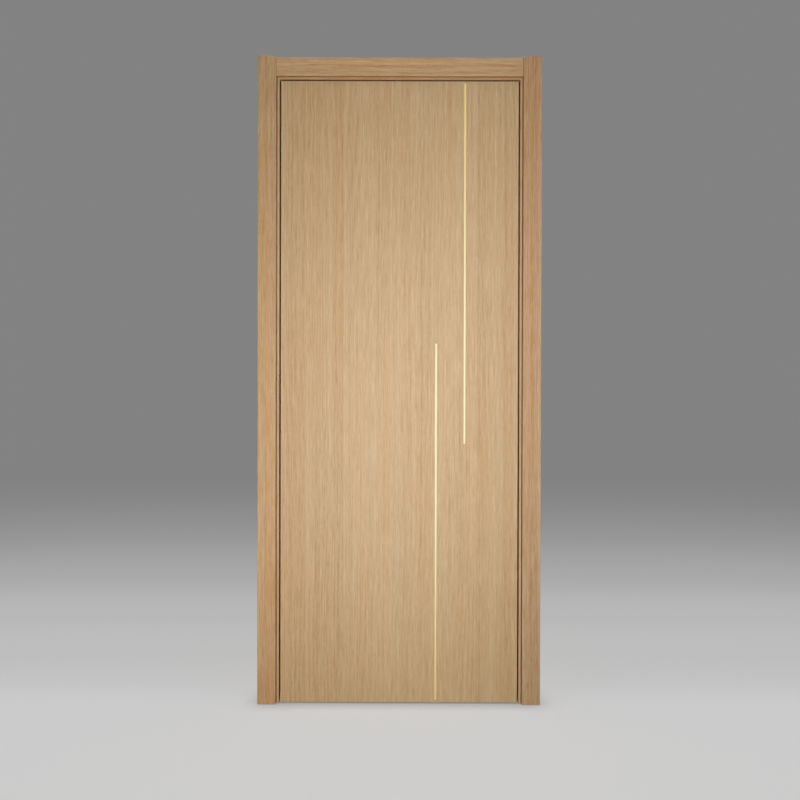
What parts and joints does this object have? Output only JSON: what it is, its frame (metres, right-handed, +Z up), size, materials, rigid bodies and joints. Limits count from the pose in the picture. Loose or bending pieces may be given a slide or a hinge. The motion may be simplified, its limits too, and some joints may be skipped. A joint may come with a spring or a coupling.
{
  "type": "interior door with frame and casings",
  "caption": "Flush veneered interior door leaf with slim vertical metal inlays, hung on concealed hinges in a lined frame with flat casings front and back.",
  "frame": {"origin": "on the outer face of the hinge jamb, at floor level, in the plane of the leaf's front face", "axes": "+X across the doorway from the hinge side to the lock side, +Y from the front face to the back, +Z up"},
  "size_m": [0.953, 0.146, 2.18],
  "materials": {
    "leaf_veneer": "matt lacquered natural oak veneer, straight vertical grain",
    "leaf_edge": "matt lacquered oak edge veneer",
    "frame_veneer": "matt lacquered natural oak veneer",
    "core_board": "raw board",
    "inlay_brass": "brushed",
    "seal_rubber": "soft matt",
    "hinge_body_metal": "satin",
    "hinge_arm_metal": "satin"
  },
  "bodies": {
    "frame": {"jamb_hinge_side": "frame_veneer", "jamb_lock_side": "frame_veneer", "jamb_head": "frame_veneer", "extension_hinge_side": "frame_veneer", "extension_lock_side": "frame_veneer", "extension_head": "frame_veneer", "stop_hinge_side": "frame_veneer", "stop_lock_side": "frame_veneer", "stop_head": "frame_veneer", "casing_front_hinge_side": "frame_veneer", "casing_front_lock_side": "frame_veneer", "casing_front_head": "frame_veneer", "casing_back_hinge_side": "frame_veneer", "casing_back_lock_side": "frame_veneer", "casing_back_head": "frame_veneer", "seal_hinge_side": "seal_rubber", "seal_lock_side": "seal_rubber", "seal_head": "seal_rubber", "hinge_top_frame_body": "hinge_body_metal", "hinge_middle_frame_body": "hinge_body_metal", "hinge_bottom_frame_body": "hinge_body_metal"},
    "leaf": {"leaf_skin_front": "leaf_veneer", "leaf_skin_back": "leaf_veneer", "leaf_stile_hinge_side": "leaf_edge", "leaf_stile_lock_side": "leaf_edge", "leaf_rail_top": "leaf_edge", "leaf_rail_bottom": "leaf_edge", "leaf_core": "core_board", "inlay_front_upper": "inlay_brass", "inlay_front_lower": "inlay_brass", "inlay_back_upper": "inlay_brass", "inlay_back_lower": "inlay_brass", "hinge_top_leaf_body": "hinge_body_metal", "hinge_middle_leaf_body": "hinge_body_metal", "hinge_bottom_leaf_body": "hinge_body_metal"},
    "frame_arms": {"hinge_top_frame_arms": "hinge_arm_metal", "hinge_middle_frame_arms": "hinge_arm_metal", "hinge_bottom_frame_arms": "hinge_arm_metal"},
    "leaf_arms": {"hinge_top_leaf_arm": "hinge_arm_metal", "hinge_middle_leaf_arm": "hinge_arm_metal", "hinge_bottom_leaf_arm": "hinge_arm_metal"}
  },
  "joints": [
    {"name": "door_swing", "type": "hinge", "parent": "frame", "child": "leaf", "pos_m": [0.0425, -0.005, 1.0525], "axis": [0, 0, -1], "range_deg": [0, 100]},
    {"name": "frame_arm_fold", "type": "hinge", "parent": "frame", "child": "frame_arms", "pos_m": [0.0315, 0.013, 1.0525], "axis": [0, 0, -1], "range_deg": [0, 50]},
    {"name": "leaf_arm_fold", "type": "hinge", "parent": "leaf", "child": "leaf_arms", "pos_m": [0.0535, 0.013, 1.0525], "axis": [0, 0, 1], "range_deg": [0, 50]}
  ],
  "couplings": [
    {"joint": "frame_arm_fold", "follows": "door_swing", "ratio": 0.5},
    {"joint": "leaf_arm_fold", "follows": "door_swing", "ratio": 0.5}
  ]
}
